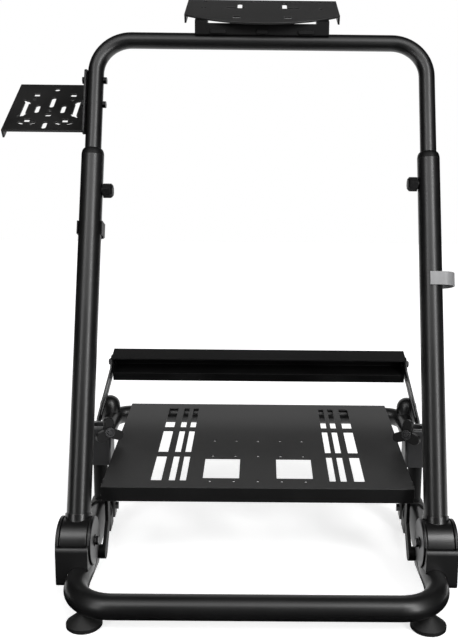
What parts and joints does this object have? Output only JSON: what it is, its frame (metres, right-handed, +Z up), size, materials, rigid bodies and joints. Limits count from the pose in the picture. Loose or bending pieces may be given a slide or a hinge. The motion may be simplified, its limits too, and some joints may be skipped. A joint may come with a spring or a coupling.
{
  "type": "racing wheel stand",
  "caption": "Free-standing tube stand with leaning uprights, a tilting wheel plate, a side shifter plate, a sloped pedal plate and a rear stop bar.",
  "frame": {"origin": "middle of the underside of the whole stand's box, on the floor", "axes": "+Z up, +Y forward, away from the driver, +X to the driver's right"},
  "size_m": [0.7362, 0.5278, 0.9232],
  "materials": {
    "frame_steel": "satin black powder coat",
    "bracket_steel": "satin black powder coat",
    "plate_steel": "fine-textured black powder coat",
    "moulded_plastic": "matte black moulded plastic",
    "hardware_steel": "black oxide steel",
    "foot_rubber": "matte black rubber",
    "clip_plastic": "grey moulded plastic"
  },
  "bodies": {
    "base": {"floor_tube": "frame_steel", "knuckle_bracket_l": "bracket_steel", "knuckle_bracket_r": "bracket_steel", "knuckle_pin_l": "hardware_steel", "knuckle_pin_r": "hardware_steel", "front_foot_l": "foot_rubber", "front_foot_r": "foot_rubber", "rear_boot_l": "foot_rubber", "rear_boot_r": "foot_rubber", "boot_tab_l": "bracket_steel", "boot_tab_r": "bracket_steel", "leg_post_l": "frame_steel", "leg_post_r": "frame_steel", "pedal_lug_l": "bracket_steel", "pedal_lug_r": "bracket_steel", "pedal_pivot_l": "hardware_steel", "pedal_pivot_r": "hardware_steel"},
    "uprights": {"upright_tube_l": "frame_steel", "upright_tube_r": "frame_steel", "knuckle_drum_l": "moulded_plastic", "knuckle_drum_r": "moulded_plastic", "tube_collar_l": "moulded_plastic", "tube_collar_r": "moulded_plastic", "height_knob_l": "moulded_plastic", "height_knob_r": "moulded_plastic", "cable_clip_l": "clip_plastic", "cable_clip_r": "clip_plastic"},
    "u_bar": {"u_bar": "frame_steel", "shifter_plate": "plate_steel", "shifter_bolt_lower": "hardware_steel", "shifter_bolt_upper": "hardware_steel"},
    "wheel_deck": {"wheel_bracket": "bracket_steel", "wheel_plate": "plate_steel"},
    "rear_loop": {"rear_loop": "frame_steel", "stop_bar": "frame_steel", "collar_block_l": "moulded_plastic", "collar_block_r": "moulded_plastic", "wing_knob_l": "moulded_plastic", "wing_knob_r": "moulded_plastic", "stop_arm_l": "frame_steel", "stop_arm_r": "frame_steel"},
    "pedal_deck": {"pedal_plate": "plate_steel"}
  },
  "joints": [
    {"name": "upright_fold", "type": "hinge", "parent": "base", "child": "uprights", "pos_m": [0.061, -0.12642, 0.078], "axis": [-1, 0, 0], "range_deg": [-15, 26]},
    {"name": "height_slide", "type": "slide", "parent": "uprights", "child": "u_bar", "axis": [0, 0.3024, 0.9532], "range_m": [0, 0.12]},
    {"name": "wheel_tilt", "type": "hinge", "parent": "u_bar", "child": "wheel_deck", "pos_m": [0.061, 0.11487, 0.83865], "axis": [1, 0, 0], "range_deg": [-20, 20]},
    {"name": "rear_height", "type": "slide", "parent": "base", "child": "rear_loop", "axis": [0, 0, 1], "range_m": [-0.005, 0.04]},
    {"name": "pedal_tilt", "type": "hinge", "parent": "base", "child": "pedal_deck", "pos_m": [0.061, -0.05455, 0.12958], "axis": [1, 0, 0], "range_deg": [-1.2, 8.2]}
  ],
  "couplings": [
    {"joint": "pedal_tilt", "follows": "rear_height", "rad_per_m": 3.3197}
  ]
}
